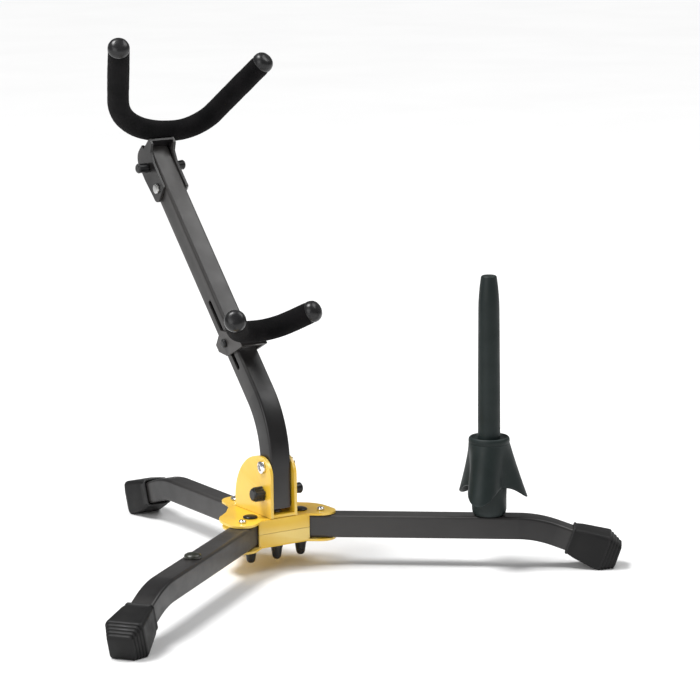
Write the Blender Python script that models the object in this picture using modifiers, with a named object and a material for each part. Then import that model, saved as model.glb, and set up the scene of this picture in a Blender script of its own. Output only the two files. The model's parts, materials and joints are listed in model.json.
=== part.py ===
"""Folding saxophone stand: three-legged steel base, hinged square-tube upright, two foam yokes, one peg.

The stand is drawn about the middle of its hub: +X is the player's right, -Y the instrument side, +Z up,
and Z = 0 is the height of the leg tubes' axes. The last step lifts it so that its feet stand on Z = 0.
Plain values below are millimetres and degrees, turned into metres by the helpers.
"""
import bpy
import bmesh
from math import atan2, cos, degrees, hypot, pi, radians, sin, sqrt, tan
from mathutils import Matrix, Vector

MM = 0.001

# --- driving sizes -------------------------------------------------------------------------------------
TUBE = 19.0              # outer side of every square tube
TUBE_WALL = 1.5
TUBE_CORNER = 2.0        # corner radius of the tubes
GAP = 0.3                # between pieces that touch in the real stand
RUN = 0.5                # between a tube and the sheet metal that it swings in
STEP = 0.3               # keeps the faces of joined shapes out of one plane
SHEET = 1.8              # sheet thickness of the two hub plates
BRACKET_SHEET = 2.5      # sheet thickness of the upright's bracket
FITTING_SHEET = 2.2      # sheet thickness of the yoke fittings

LEG_ANGLE = 37.8         # front legs below the X axis
LEG_SLOPE = 19.5         # how far the feet bend down
LEG_BEND = 90.0          # radius of that bend, on the tube's axis
FRONT_KNEE = 226.5       # hub centre to the bend's corner, front legs
REAR_KNEE = 156.0        # the same, rear leg
MOUTH_AT = 28.0          # bend's corner to the boot's mouth
REAR_LEG_START = 1.0     # where the rear tube begins, behind the hub's centre

BOOT_MOUTH = 23.4        # outer side of the boot at its mouth
BOOT_END = 31.0          # outer side at its wide end
BOOT_LENGTH = 29.5       # mouth to wide end
BOOT_CAP = 13.0          # stepped nose past the wide end
BOOT_TIP = 19.0          # side of the nose's end face
BOOT_STEPS = 4
BOOT_GRIP = 20.0         # how deep the tube goes in
SOLE_CUT = 1.0           # flat worn into the lowest edge

FRONT_Y = 33.0           # hub centre to the front wall's outer face
PIVOT_X = 24.0           # front legs' pivot bolts
PIVOT_Y = -18.6
BOLT = 6.0               # shank of the hub's bolts
HEAD = 12.0              # their domed heads
NUT = 10.4               # their cap nuts
REAR_BOLTS = (14.0, 42.0)
PLUNGER = 4.0
PLUNGER_AT = 47.5        # leg lock plungers, from the hub's centre
TAB = 12.5               # half width of the tab over each front leg
SWEEP = 25.5             # lobe radius about a leg's pivot
REAR_TAB = 15.0          # half width of the tab over the rear leg
REAR_TAB_END = 54.0

EAR_BACK = 24.5          # bracket, from the hub's centre to its rear edge
EAR_TOP = 61.5           # top of its ears
EAR_SWEEP = 42.0         # radius of an ear's rear edge
EAR_NOSE = 15.0          # radius of an ear's front corner
UPRIGHT_Y = -20.0        # upright's lower part, and its pivot
UPRIGHT_FOOT = 18.5
PIVOT_Z = 53.0
LOCK_Z = 31.0
LOCK_PIN = 6.0
UPRIGHT_CORNER_Z = 85.3  # corner of the upright's bend
UPRIGHT_BEND = 80.0
UPRIGHT_TILT = 43.0      # upper part, from vertical
UPRIGHT_REACH = 283.0    # bend's corner to the tube's top end
CARRIER_PIN = 6.0        # pin through the upper yoke's carrier
PIVOT_BOLT = 8.0

SLOT_WIDTH = 4.6         # adjusting slot for the lower yoke
SLOT_BELOW = 26.8
SLOT_ABOVE = 42.8
CLAMP_AT = 85.0          # bend's corner to the clamp bolt
CLAMP_BOLT = 4.0

RIVET_BELOW = 37.5       # tube's top end to the carrier's rivet
LATCH_BELOW = 15.0       # tube's top end to the carrier's latch pins
LATCH_PIN = 5.0
TOP_CAP = 1.4            # height of the cap that closes the tube's top end

ROD = 8.0                # steel rod inside a yoke
FOAM = 18.6              # outer diameter of a foam sleeve
FOAM_END = 6.0           # bare rod past the foam, inside the end cap
CAP = 18.2               # diameter of a yoke's end cap
FOAM_ABOVE = 0.7         # upper foam over the tube's cap
LUG = 5.0                # half width of the lug that holds a rod
UPPER_ARMS = ((81.6, 123.0, 20.0, 75.0), (71.0, 91.5, 18.0, 32.0))    # across, height, lean, bend radius
LOWER_ARM = (38.5, 36.5, 30.0, 25.0)
LOWER_RISE = 30.0        # lower yoke, from level

PEG_AT = 187.0           # peg on the right leg, from the hub's centre
PLUG_AT = 153.0          # plugged peg socket on the left leg
SOCKET = 12.0            # threaded sockets for the peg
PEG_BASE = 14.3          # radii and heights of the peg
PEG_SHOULDER = 17.0
PEG_SHAFT = 9.2
PEG_WALL = 2.0
PEG_NOSE = 6.6
PEG_NOSE_EDGE = 2.0      # rounding of the flat top's edge
PEG_SHOULDER_Z = 60.2    # above the leg's top face
PEG_TOP_Z = 199.2
PETAL_TURNS = (-23, 97, 217)
PETAL_REACH = 32.5       # peg's axis to a petal's tip
PETAL_LENGTH = 47.0      # shoulder to tip
PETAL_NOTCH = 36.0       # shoulder to the notch between two petals
PETAL_SHEET = 2.4
STUD = 8.0               # thread between the leg and the peg

# --- sizes that follow ---------------------------------------------------------------------------------
HALF = TUBE / 2
PLATE_IN = HALF + RUN                # inner face of a hub plate, above the legs' axes
PLATE_OUT = PLATE_IN + SHEET
WALL_IN = FRONT_Y - SHEET            # inner face of the front wall
BASE_LOW = PLATE_OUT + GAP           # underside of the bracket
BASE_TOP = BASE_LOW + BRACKET_SHEET
EAR_IN = HALF + RUN
EAR_OUT = EAR_IN + BRACKET_SHEET
SIDE_OUT = EAR_IN + FITTING_SHEET    # outer face of the yoke fittings' side plates
BOLT_HOLE = BOLT / 2 + GAP
TILT = radians(UPRIGHT_TILT)
ALONG = Vector((0, sin(TILT), cos(TILT)))       # up the upright's upper part
ACROSS = Vector((0, cos(TILT), -sin(TILT)))     # square to it, towards the back
CORNER = Vector((0, UPRIGHT_Y, UPRIGHT_CORNER_Z))
TOP = CORNER + ALONG * UPRIGHT_REACH
RIVET = TOP - ALONG * RIVET_BELOW
LATCH = TOP - ALONG * LATCH_BELOW
CLAMP = CORNER + ALONG * CLAMP_AT
BACK_WEB = HALF + 1.5                # inner face of the lower yoke's back web
SLOPE = radians(LEG_SLOPE)
FLOOR = SOLE_CUT - (MOUTH_AT + BOOT_LENGTH) * sin(SLOPE) - BOOT_END / 2 * cos(SLOPE)

BLACK_STEEL = ("black_paint", (0.020, 0.020, 0.022), 0.38, 0.0)
YELLOW_STEEL = ("gold_paint", (0.82, 0.50, 0.06), 0.30, 0.25)
CHROME = ("chrome", (0.80, 0.80, 0.80), 0.14, 1.0)
BLACK_PLASTIC = ("black_plastic", (0.016, 0.016, 0.018), 0.30, 0.0)
RUBBER = ("rubber", (0.022, 0.022, 0.023), 0.70, 0.0)
FOAM_LOOK = ("foam", (0.012, 0.012, 0.013), 0.95, 0.0)
PEG_PLASTIC = ("peg_plastic", (0.022, 0.030, 0.029), 0.42, 0.0)
ZINC = ("zinc", (0.55, 0.56, 0.58), 0.32, 1.0)

for old in list(bpy.data.objects):
    bpy.data.objects.remove(old, do_unlink=True)
stand = bpy.data.collections.new("saxophone_stand")
tools = bpy.data.collections.new("cutters")
for group in (stand, tools):
    bpy.context.scene.collection.children.link(group)
root = bpy.data.objects.new("stand_root", None)
stand.objects.link(root)


# --- helpers -------------------------------------------------------------------------------------------
def material(look):
    name, colour, roughness, metallic = look
    found = bpy.data.materials.get(name)
    if found:
        return found
    made = bpy.data.materials.new(name)
    made.use_nodes = True
    shader = made.node_tree.nodes["Principled BSDF"]
    shader.inputs["Base Color"].default_value = (*colour, 1.0)
    shader.inputs["Roughness"].default_value = roughness
    shader.inputs["Metallic"].default_value = metallic
    return made


def place(obj, group):
    for held in list(obj.users_collection):
        held.objects.unlink(obj)
    group.objects.link(obj)
    return obj


def mesh_object(name, fill, group=tools):
    """A new object whose mesh is made by fill(bm), in millimetres."""
    bm = bmesh.new()
    fill(bm)
    bmesh.ops.scale(bm, vec=(MM, MM, MM), verts=bm.verts)
    mesh = bpy.data.meshes.new(name)
    bm.to_mesh(mesh)
    bm.free()
    obj = bpy.data.objects.new(name, mesh)
    group.objects.link(obj)
    return obj


def box(name, low, high):
    low, high = Vector(low), Vector(high)

    def fill(bm):
        size = Matrix.Diagonal((*(high - low), 1))
        bmesh.ops.create_cube(bm, size=1, matrix=Matrix.Translation((low + high) / 2) @ size)
    return mesh_object(name, fill)


def rod_between(name, start, end, radius, end_radius=None, sides=24):
    """A straight round bar, or a cone when end_radius differs."""
    start, end = Vector(start), Vector(end)
    turn = (end - start).to_track_quat("Z", "Y").to_matrix().to_4x4()
    middle = Matrix.Translation((start + end) / 2)

    def fill(bm):
        bmesh.ops.create_cone(bm, cap_ends=True, segments=sides, radius1=radius,
                              radius2=radius if end_radius is None else end_radius,
                              depth=(end - start).length, matrix=middle @ turn)
    return mesh_object(name, fill)


def baked(obj, name=None):
    """The object's evaluated mesh as a plain mesh object in the same place; the old one is removed."""
    bpy.context.view_layer.update()
    evaluated = obj.evaluated_get(bpy.context.evaluated_depsgraph_get())
    mesh = bpy.data.meshes.new_from_object(evaluated)
    bm = bmesh.new()
    bm.from_mesh(mesh)
    bmesh.ops.remove_doubles(bm, verts=bm.verts, dist=0.00001)
    bm.to_mesh(mesh)
    bm.free()
    made = bpy.data.objects.new(name or obj.name, mesh)
    tools.objects.link(made)
    made.matrix_world = obj.matrix_world.copy()
    bpy.data.objects.remove(obj, do_unlink=True)
    return made


def curve_object(name, points, closed, dimensions="3D"):
    data = bpy.data.curves.new(name, "CURVE")
    data.dimensions = dimensions
    spline = data.splines.new("POLY")
    spline.points.add(len(points) - 1)
    for spot, point in zip(spline.points, points):
        spot.co = (*(Vector(point).to_3d() * MM), 1)
    spline.use_cyclic_u = closed
    obj = bpy.data.objects.new(name, data)
    tools.objects.link(obj)
    return obj


def plate(name, outline, low, high, plane="XY"):
    """A flat outline (first and second plane axis) between two heights on the third axis."""
    obj = curve_object(name, outline, True, "2D")
    obj.data.fill_mode = "BOTH"
    obj.data.extrude = (high - low) / 2 * MM
    middle = (low + high) / 2 * MM
    if plane == "XY":
        obj.matrix_world = Matrix.Translation((0, 0, middle))
    else:                                     # "YZ": outline is (Y, Z), heights are along X
        turn = Matrix(((0, 0, 1, middle), (1, 0, 0, 0), (0, 1, 0, 0), (0, 0, 0, 1)))
        obj.matrix_world = turn
    return baked(obj)


def rounded_square(name, side, radius):
    inner = side / 2 - radius
    points = []
    for quarter in range(4):
        middle = Vector((inner, inner)) @ Matrix.Rotation(-quarter * pi / 2, 2)
        points += arc(middle, radius, quarter * 90, quarter * 90 + 90, 3)
    return curve_object(name, points, True, "2D")


def arc(centre, radius, start, end, steps):
    """Points on an arc in a plane, from one angle to the other, in degrees."""
    spots = []
    for i in range(steps + 1):
        angle = radians(start + (end - start) * i / steps)
        spots.append(Vector((centre[0] + radius * cos(angle), centre[1] + radius * sin(angle))))
    return spots


def swept(name, path, side=None, radius=None, corner=0.0, sides=12):
    """A solid bar along a path: square with rounded corners, or round."""
    obj = curve_object(name, path, False)
    obj.data.use_fill_caps = True
    obj.data.twist_mode = "Z_UP"
    section = None
    if side:
        section = rounded_square(name + "_section", side, corner)
        obj.data.bevel_mode = "OBJECT"
        obj.data.bevel_object = section
    else:
        obj.data.bevel_depth = radius * MM
        obj.data.bevel_resolution = sides // 4 - 1
    made = baked(obj, name)
    if section:
        bpy.data.objects.remove(section, do_unlink=True)
    outward(made)
    return made


def outward(obj):
    bm = bmesh.new()
    bm.from_mesh(obj.data)
    bmesh.ops.recalc_face_normals(bm, faces=bm.faces)
    bm.to_mesh(obj.data)
    bm.free()


def turned(name, profile, steps=32):
    """A round piece about Z from (radius, height) pairs that run down its outer side."""
    def fill(bm):
        spots = [bm.verts.new((r, 0, z)) for r, z in profile]
        for one, two in zip(spots, spots[1:]):
            bm.edges.new((one, two))
    obj = mesh_object(name, fill)
    screw = obj.modifiers.new("turn", "SCREW")
    screw.steps = steps
    screw.render_steps = steps
    screw.use_merge_vertices = True
    screw.merge_threshold = 0.00001
    return baked(obj)


def moved(obj, matrix):
    """Applies a placement, given in millimetres, to the object's mesh."""
    scaled = matrix.copy()
    scaled.translation = matrix.translation * MM
    obj.data.transform(scaled @ obj.matrix_world)
    obj.matrix_world = Matrix()
    return obj


def combine(obj, others, operation):
    """Joins the others to obj, or cuts them from it, and removes them."""
    for other in others:
        step = obj.modifiers.new("combine", "BOOLEAN")
        step.operation = operation
        step.solver = "EXACT"
        step.object = other
        obj = baked(obj)
        bpy.data.objects.remove(other, do_unlink=True)
    return obj


def cut(obj, *others):
    return combine(obj, others, "DIFFERENCE")


def joined(obj, *others):
    return combine(obj, others, "UNION")


def piece(obj, name, look, pivot=(0, 0, 0)):
    """Finishes a piece: its name, material, shading, and its origin on the pivot."""
    spot = Vector(pivot) * MM
    obj.data.transform(Matrix.Translation(-spot) @ obj.matrix_world)
    obj.matrix_world = Matrix.Translation(spot)
    obj.name = name
    obj.data.name = name
    obj.data.materials.clear()
    obj.data.materials.append(material(look))
    for face in obj.data.polygons:
        face.material_index = 0
    obj.data.shade_smooth()
    obj.data.set_sharp_from_angle(angle=radians(35))
    place(obj, stand)
    obj.parent = root
    return obj


def hole(start, end, diameter):
    return rod_between("hole", start, end, diameter / 2 + GAP)


def bent_path(start, corner, end, radius, steps):
    """Start to end through a corner that is rounded to the radius."""
    start, corner, end = Vector(start), Vector(corner), Vector(end)
    one = (start - corner).normalized()
    two = (end - corner).normalized()
    turn = pi - one.angle(two)
    centre = corner + (one + two).normalized() * radius / cos(turn / 2)
    first = corner + one * radius * tan(turn / 2) - centre
    axis = first.cross(two)
    bend = [centre + Matrix.Rotation(turn * i / steps, 3, axis) @ first for i in range(steps + 1)]
    return [start] + bend + [end]


def square_tube(name, path):
    """A hollow square tube; the bore runs past both ends."""
    outside = swept(name, path, side=TUBE, corner=TUBE_CORNER)
    longer = [p.copy() for p in path]
    longer[0] += (path[0] - path[1]).normalized() * 2
    longer[-1] += (path[-1] - path[-2]).normalized() * 2
    return cut(outside, swept("bore", longer, side=TUBE - 2 * TUBE_WALL, corner=TUBE_CORNER / 2))


# --- hub -----------------------------------------------------------------------------------------------
def leg_frame(side):
    """Places leg axes: X out along the leg, Y square to it, Z up. side is 1 right, -1 left, 0 rear."""
    angle = {1: -LEG_ANGLE, -1: LEG_ANGLE - 180, 0: 90}[side]
    return Matrix.Rotation(radians(angle), 4, "Z")


def hub_outline():
    """Plan of a hub plate, right half mirrored: straight front, two lobes and a rear tab."""
    out = Vector((cos(radians(LEG_ANGLE)), -sin(radians(LEG_ANGLE))))
    side = Vector((-out.y, out.x)) * -TAB
    front = FRONT_Y - SHEET / 2
    front_x = (front * cos(radians(LEG_ANGLE)) - TAB) / sin(radians(LEG_ANGLE))
    tip = out * PLUNGER_AT
    points = [Vector((front_x, -front)), tip + side]
    nose = degrees(atan2(side.y, side.x))
    points += arc(tip, TAB, nose, nose + 120, 8)[1:]
    points += arc((PIVOT_X, PIVOT_Y), SWEEP, -2, 52, 8)
    points += [Vector((PIVOT_X + 6.5, 9.5)), Vector((PIVOT_X + 0.5, 17.5)), Vector((REAR_TAB + 2.5, 27))]
    points += arc((0, REAR_TAB_END - REAR_TAB), REAR_TAB, 0, 90, 8)
    return points + [Vector((-p.x, p.y)) for p in reversed(points[:-1])]


def hub_plates():
    outline = hub_outline()
    wall_x = (WALL_IN * cos(radians(LEG_ANGLE)) - HALF - GAP) / sin(radians(LEG_ANGLE))
    holes = [(PIVOT_X, PIVOT_Y), (-PIVOT_X, PIVOT_Y), (0, UPRIGHT_Y)]
    holes += [(0, y) for y in REAR_BOLTS]
    edge = PLATE_OUT - STEP
    for name, low, high, wall in (("hub_top_plate", PLATE_IN, PLATE_OUT, (GAP / 2, edge)),
                                  ("hub_bottom_plate", -PLATE_OUT, -PLATE_IN, (-edge, -GAP / 2))):
        body = plate(name, outline, low, high)
        flange = box("wall", (-wall_x, -FRONT_Y, wall[0]), (wall_x, -WALL_IN, wall[1]))
        body = joined(body, flange)
        cutters = [hole((x, y, -30), (x, y, 30), BOLT) for x, y in holes]
        if low > 0:
            for side in (1, -1):
                spot = leg_frame(side) @ Vector((PLUNGER_AT, 0, 0))
                cutters.append(hole((spot.x, spot.y, 0), (spot.x, spot.y, 30), PLUNGER))
        piece(cut(body, *cutters), name, YELLOW_STEEL)


def dome(name, x, y, low, radius, height, look, up=True, below=None):
    """A domed head standing on a plate, with its shank when below is given."""
    sign = 1 if up else -1
    heights = [(radius * cos(radians(a)), height * (0.35 + 0.65 * sin(radians(a)))) for a in range(0, 90, 15)]
    profile = [(0, height)] + heights[::-1] + [(radius, 0)]
    if below is None:
        profile.append((0, 0))
    else:
        shank, depth = below
        profile += [(shank / 2, 0), (shank / 2, -depth), (0, -depth)]
    body = turned(name, profile, 24)
    if not up:
        moved(body, Matrix.Rotation(pi, 4, "X"))
    moved(body, Matrix.Translation((x, y, low)))
    return piece(body, name, look)


def hub_bolts():
    """Pivot bolts with black domed heads, a centre bolt and two rear bolts, each with its cap nut."""
    reach = 2 * PLATE_OUT + GAP * 2
    tall = [(0, 14.0), (NUT * 0.20, 13.7), (NUT * 0.31, 12.6), (NUT * 0.36, 11.0), (NUT / 2 * 0.9, 4.5),
            (NUT / 2, 3.5), (NUT / 2, 0), (BOLT / 2 + GAP, 0), (BOLT / 2 + GAP, 4.0), (0, 4.0)]
    low_nut = [(0, 6.0), (3.4, 5.2), (5.0, 3.6), (5.2, 0), (BOLT / 2 + GAP, 0), (BOLT / 2 + GAP, 4.0),
               (0, 4.0)]
    places = [("leg_pivot_right", PIVOT_X, PIVOT_Y, PLATE_OUT, tall, BLACK_PLASTIC, 2.2),
              ("leg_pivot_left", -PIVOT_X, PIVOT_Y, PLATE_OUT, tall, BLACK_PLASTIC, 2.2),
              ("hub_centre", 0, UPRIGHT_Y, BASE_TOP, tall, ZINC, 1.4),
              ("rear_leg_inner", 0, REAR_BOLTS[0], BASE_TOP, low_nut, ZINC, 2.6),
              ("rear_leg_outer", 0, REAR_BOLTS[1], PLATE_OUT, low_nut, ZINC, 2.6)]
    for name, x, y, seat, nut, look, height in places:
        seat = seat + GAP
        depth = seat + PLATE_OUT + GAP + 3.0
        dome(name + "_bolt", x, y, seat, HEAD / 2 - (height < 2) * 1.5, height, look, below=(BOLT, depth))
        body = turned(name + "_nut", nut, 24)
        moved(body, Matrix.Translation((x, y, -PLATE_OUT - GAP)) @ Matrix.Rotation(pi, 4, "X"))
        piece(body, name + "_nut", BLACK_PLASTIC if nut is tall else ZINC)


def bracket():
    """U of sheet steel that carries the upright: a base and two ears with rounded tops."""
    inside = EAR_OUT - BRACKET_SHEET / 2
    base = box("base", (-inside, STEP - FRONT_Y, BASE_LOW + STEP / 2), (inside, EAR_BACK - STEP, BASE_TOP))
    ear = [Vector((-FRONT_Y, BASE_LOW)), Vector((EAR_BACK, BASE_LOW))]
    ear += arc((EAR_BACK - EAR_SWEEP, EAR_TOP - EAR_SWEEP), EAR_SWEEP, 0, 88, 16)
    ear += arc((EAR_NOSE - FRONT_Y, EAR_TOP - EAR_NOSE), EAR_NOSE, 90, 180, 10)
    ears = [plate("ear", ear, x, x + BRACKET_SHEET, "YZ") for x in (-EAR_OUT, EAR_IN)]
    cutters = [hole((-30, UPRIGHT_Y, PIVOT_Z), (30, UPRIGHT_Y, PIVOT_Z), PIVOT_BOLT),
               hole((-30, UPRIGHT_Y, LOCK_Z), (30, UPRIGHT_Y, LOCK_Z), LOCK_PIN)]
    cutters += [hole((0, y, 0), (0, y, 30), BOLT) for y in (UPRIGHT_Y, REAR_BOLTS[0])]
    piece(cut(joined(base, *ears), *cutters), "upright_bracket", YELLOW_STEEL)


# --- legs ----------------------------------------------------------------------------------------------
def boot(name, frame, knee, pivot):
    """Flared rubber boot with a stepped nose; the tube end goes into its square socket."""
    corner = sqrt(2)
    socket = HALF + GAP
    profile = [(0, -BOOT_GRIP), (socket, -BOOT_GRIP), (socket, 0), (BOOT_MOUTH / 2, 0),
               (BOOT_END / 2, -BOOT_LENGTH)]
    for i in range(BOOT_STEPS):
        share = (i + 1) / BOOT_STEPS
        side = (BOOT_END - (BOOT_END - BOOT_TIP) * share) / 2
        depth = BOOT_LENGTH + BOOT_CAP * i / BOOT_STEPS
        profile += [(side + 0.6, -depth - 0.4), (side, -depth - BOOT_CAP / BOOT_STEPS)]
    profile.append((0, profile[-1][1]))
    body = turned(name, [(r * corner, z) for r, z in profile], 4)
    moved(body, Matrix.Rotation(radians(45), 4, "Z"))
    down = Matrix.Rotation(-pi / 2 + SLOPE, 4, "Y")
    mouth = Vector((knee + MOUTH_AT * cos(SLOPE), 0, -MOUTH_AT * sin(SLOPE)))
    moved(body, frame @ Matrix.Translation(mouth) @ down)
    sole = box("sole", (-400, -400, FLOOR - 30), (400, 400, FLOOR))
    piece(cut(body, sole), name, RUBBER, pivot)


def leg(side, name, pivot):
    frame = leg_frame(side)
    knee = FRONT_KNEE if side else REAR_KNEE
    tip = MOUTH_AT + BOOT_GRIP - GAP
    start = REAR_LEG_START
    if side:
        clear = WALL_IN + PIVOT_Y - GAP
        start = hypot(PIVOT_X, PIVOT_Y) - sqrt(clear ** 2 - HALF ** 2)
    end = (knee + tip * cos(SLOPE), 0, -tip * sin(SLOPE))
    path = bent_path((start, 0, 0), (knee, 0, 0), end, LEG_BEND, 5)
    tube = square_tube(name, path)
    moved(tube, frame)
    cutters = []
    if side:
        cutters.append(hole((*pivot[:2], -30), (*pivot[:2], 30), BOLT))
        spot = frame @ Vector((PEG_AT if side > 0 else PLUG_AT, 0, 0))
        cutters.append(hole((spot.x, spot.y, 0), (spot.x, spot.y, 30), SOCKET))
    else:
        cutters += [hole((0, y, -30), (0, y, 30), BOLT) for y in REAR_BOLTS]
    piece(cut(tube, *cutters), name + "_tube", BLACK_STEEL, pivot)
    boot(name + "_boot", frame, knee, pivot)


def legs():
    for side, name in ((1, "right_leg"), (-1, "left_leg")):
        pivot = (side * PIVOT_X, PIVOT_Y, 0)
        leg(side, name, pivot)
        spot = leg_frame(side) @ Vector((PEG_AT if side > 0 else PLUG_AT, 0, 0))
        ring = [(STUD / 2 + GAP, HALF), (SOCKET / 2, HALF), (SOCKET / 2, HALF - 9), (STUD / 2 + GAP, HALF - 9),
                (STUD / 2 + GAP, HALF)]
        body = turned("socket", ring, 24)
        moved(body, Matrix.Translation((spot.x, spot.y, 0)))
        piece(body, name + "_peg_socket", ZINC, pivot)
        spring_plunger(side, name)
    leg(0, "rear_leg", (0, 0, 0))


def spring_plunger(side, name):
    spot = leg_frame(side) @ Vector((PLUNGER_AT, 0, 0))
    depth = PLATE_OUT + GAP - HALF - GAP
    body = dome("plunger", spot.x, spot.y, PLATE_OUT + GAP, 3.1, 2.6, CHROME, below=(PLUNGER, depth))
    body.name = name + "_lock_plunger"


# --- peg and plug --------------------------------------------------------------------------------------
def petal_share(angle):
    """1 along a petal's middle, falling to 0 halfway to the next one; the angle is in degrees."""
    apart = min(abs((angle - turn + 180) % 360 - 180) for turn in PETAL_TURNS)
    return max(0.0, cos(radians(apart * 90 / 60))) ** 1.5


def petals():
    """Skirt of the collar: it hugs the body between the petals and flares out to their tips."""
    around, rows = 60, 6
    spread = PETAL_REACH - PEG_SHOULDER

    def ring(level, inset):
        spots = []
        for i in range(around):
            angle = 360 * i / around
            share = petal_share(angle)
            drop = (PETAL_NOTCH + (PETAL_LENGTH - PETAL_NOTCH) * share ** 2.6) * level
            reach = PEG_SHOULDER - 1.6 * (1 - share) * level + spread * share * drop / PETAL_LENGTH - inset
            spots.append(Vector((reach * cos(radians(angle)), reach * sin(radians(angle)), PEG_SHOULDER_Z - drop)))
        return spots
    outer = [ring(i / rows, 0) for i in range(rows + 1)]
    inner = [ring(i / rows, PETAL_SHEET) for i in range(rows, -1, -1)]

    def fill(bm):
        rings = [[bm.verts.new(p) for p in spots] for spots in outer + inner]
        for one, two in zip(rings, rings[1:] + rings[:1]):
            for i in range(around):
                j = (i + 1) % around
                bm.faces.new((one[i], two[i], two[j], one[j]))
    skirt = mesh_object("skirt", fill)
    outward(skirt)
    return skirt


def peg():
    """Instrument peg that screws into the right leg: collar with three petals, shaft and stud."""
    spot = leg_frame(1) @ Vector((PEG_AT, 0, 0))
    seat = Vector((spot.x, spot.y, HALF + GAP))
    top = PEG_SHOULDER_Z + 5.5
    bore = PEG_SHAFT - PEG_WALL
    floor = 24
    profile = [(bore, top - 1), (PEG_SHAFT + 2.5, top), (PEG_SHOULDER - 1.2, top - 2.2),
               (PEG_SHOULDER - 0.2, top - 5.0), (PEG_SHOULDER - 0.8, PEG_SHOULDER_Z - 4),
               (PEG_BASE + 0.3, PEG_SHOULDER_Z - PETAL_NOTCH), (PEG_BASE, 16), (PEG_BASE, 6),
               (PEG_BASE - 1.6, 0), (STUD / 2 + GAP, 0), (STUD / 2 + GAP, floor), (bore, floor), (bore, top - 1)]
    collar = joined(turned("collar", profile, 32), petals())
    piece(moved(collar, Matrix.Translation(seat)), "peg_collar", PEG_PLASTIC, seat)
    edge = PEG_NOSE_EDGE
    shaft = [(0, PEG_TOP_Z)]
    shaft += [(PEG_NOSE - edge + edge * sin(radians(a)), PEG_TOP_Z - edge * (1 - cos(radians(a))))
              for a in range(0, 91, 30)]
    shaft += [(PEG_SHAFT - 0.5, PEG_TOP_Z - 29), (PEG_SHAFT, top + GAP), (bore - GAP, top + GAP),
              (bore - GAP, floor + 1), (0, floor + 1)]
    piece(moved(turned("shaft", shaft, 32), Matrix.Translation(seat)), "peg_shaft", PEG_PLASTIC, seat)
    stud = rod_between("stud", seat + Vector((0, 0, -7)), seat + Vector((0, 0, floor - 1)), STUD / 2)
    piece(stud, "peg_stud", ZINC, seat)


def plug():
    spot = leg_frame(-1) @ Vector((PLUG_AT, 0, 0))
    body = dome("left_leg_plug", spot.x, spot.y, HALF + GAP, 6.9, 4.2, RUBBER, below=(STUD - 0.6, 7.0))
    body.name = "left_leg_plug"


# --- upright -------------------------------------------------------------------------------------------
def upright():
    path = bent_path((0, UPRIGHT_Y, UPRIGHT_FOOT), CORNER, TOP, UPRIGHT_BEND, 8)
    tube = square_tube("upright", path)
    low, high = CLAMP - ALONG * SLOT_BELOW, CLAMP + ALONG * SLOT_ABOVE
    inset = ALONG * SLOT_WIDTH / 2
    ends = [rod_between("slot", p - Vector((30, 0, 0)), p + Vector((30, 0, 0)), SLOT_WIDTH / 2, sides=16)
            for p in (low + inset, high - inset)]
    span = (high - low).length - SLOT_WIDTH
    middle = box("slot", (-30, -SLOT_WIDTH / 2, -span / 2), (30, SLOT_WIDTH / 2, span / 2))
    moved(middle, Matrix.Translation((low + high) / 2) @ Matrix.Rotation(-TILT, 4, "X"))
    holes = [hole((-30, UPRIGHT_Y, PIVOT_Z), (30, UPRIGHT_Y, PIVOT_Z), PIVOT_BOLT + 2),
             hole((-30, UPRIGHT_Y, LOCK_Z), (30, UPRIGHT_Y, LOCK_Z), LOCK_PIN)]
    for spot, size in ((RIVET, CARRIER_PIN), (LATCH, LATCH_PIN)):
        holes.append(hole(spot - Vector((30, 0, 0)), spot + Vector((30, 0, 0)), size))
    pivot = (0, UPRIGHT_Y, PIVOT_Z)
    piece(cut(tube, *ends, middle, *holes), "upright_tube", BLACK_STEEL, pivot)
    bush = [(PIVOT_BOLT / 2 + 0.1, HALF), (PIVOT_BOLT / 2 + 1, HALF), (PIVOT_BOLT / 2 + 1, -HALF),
            (PIVOT_BOLT / 2 + 0.1, -HALF), (PIVOT_BOLT / 2 + 0.1, HALF)]
    body = turned("bush", bush, 24)
    moved(body, Matrix.Translation(pivot) @ Matrix.Rotation(pi / 2, 4, "Y"))
    piece(body, "upright_pivot_bush", ZINC, pivot)
    inner = HALF - TUBE_WALL - GAP * 2
    top = box("plug", (-inner, -inner, -9), (inner, inner, 0))
    cap = box("cap", (-HALF, -HALF, GAP), (HALF, HALF, TOP_CAP))
    neck = box("neck", (-inner, -inner, -1), (inner, inner, 1))
    body = joined(top, neck, cap)
    moved(body, Matrix.Translation(TOP) @ Matrix.Rotation(-TILT, 4, "X"))
    piece(body, "upright_top_plug", BLACK_PLASTIC, pivot)
    stopper = box("foot", (-inner, -inner, 0), (inner, inner, 6))
    moved(stopper, Matrix.Translation((0, UPRIGHT_Y, UPRIGHT_FOOT)))
    piece(stopper, "upright_foot_plug", BLACK_PLASTIC, pivot)


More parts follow.
